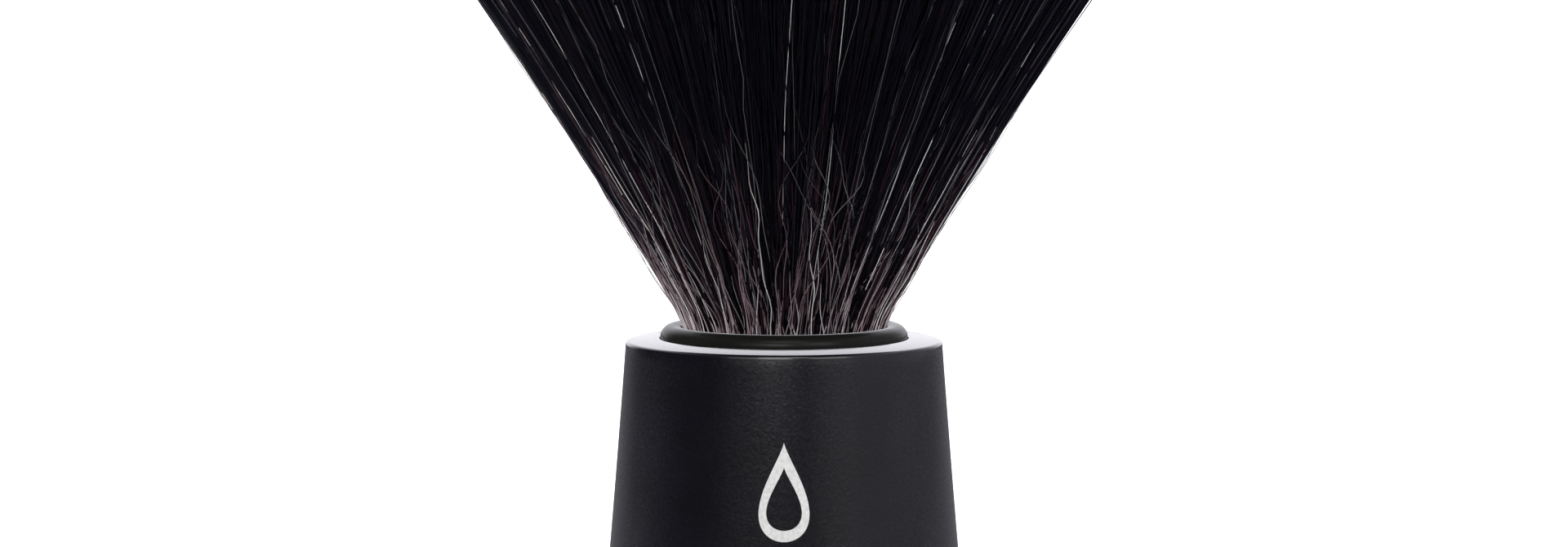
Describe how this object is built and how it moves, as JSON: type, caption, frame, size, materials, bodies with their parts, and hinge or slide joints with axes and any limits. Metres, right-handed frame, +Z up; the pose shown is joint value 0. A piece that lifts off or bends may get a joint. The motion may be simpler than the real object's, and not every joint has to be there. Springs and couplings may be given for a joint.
{
  "type": "shaving brush",
  "caption": "Shaving brush: a wide fan of dark fibres set in a black ring-topped cup that screws into a tapered satin black handle with a weighted foot.",
  "frame": {"origin": "centre of the foot pad's underside, where the brush stands", "axes": "+Z up along the brush's axis, from the foot to the fibre tips; the brush is round, so -Y is only named as its front"},
  "size_m": [0.0702, 0.0702, 0.1],
  "materials": {
    "handle": "satin",
    "collar": "gloss",
    "cup": "satin",
    "sleeve": "satin",
    "steel": "satin",
    "rubber": "matte",
    "resin": "gloss",
    "cord": "matte",
    "fibre": "satin"
  },
  "bodies": {
    "handle": {"handle_shell": "handle", "thread_sleeve": "sleeve", "base_plate": "cup", "foot_pad": "rubber", "ballast_pad": "rubber", "ballast_weight": "steel", "ballast_screw": "steel", "base_screw_1": "steel", "base_screw_2": "steel", "base_screw_3": "steel"},
    "washer": {"seal_washer": "rubber"},
    "head": {"collar_ring": "collar", "knot_cup": "cup", "loft_spacer": "cup", "glue_plug": "resin", "root_binding": "cord", "knot_root": "fibre"},
    "lower_knot": {"knot_waist": "fibre"},
    "upper_knot": {"knot_fan": "fibre"}
  },
  "joints": [
    {"name": "head_lift", "type": "slide", "parent": "handle", "child": "washer", "axis": [0, 0, 1], "range_m": [0, 0.00625]},
    {"name": "head_turn", "type": "hinge", "parent": "washer", "child": "head", "pos_m": [0, 0, 0.044], "axis": [0, 0, 1], "range_deg": [0, 900]},
    {"name": "knot_side_bend", "type": "hinge", "parent": "head", "child": "lower_knot", "pos_m": [0, 0, 0.044], "axis": [0, 1, 0], "range_deg": [-20, 20], "stiffness_Nm_per_rad": 0.2},
    {"name": "knot_front_bend", "type": "hinge", "parent": "lower_knot", "child": "upper_knot", "pos_m": [0, 0, 0.052], "axis": [1, 0, 0], "range_deg": [-20, 20], "stiffness_Nm_per_rad": 0.2}
  ],
  "couplings": [
    {"joint": "head_turn", "follows": "head_lift", "rad_per_m": 2513.3}
  ]
}
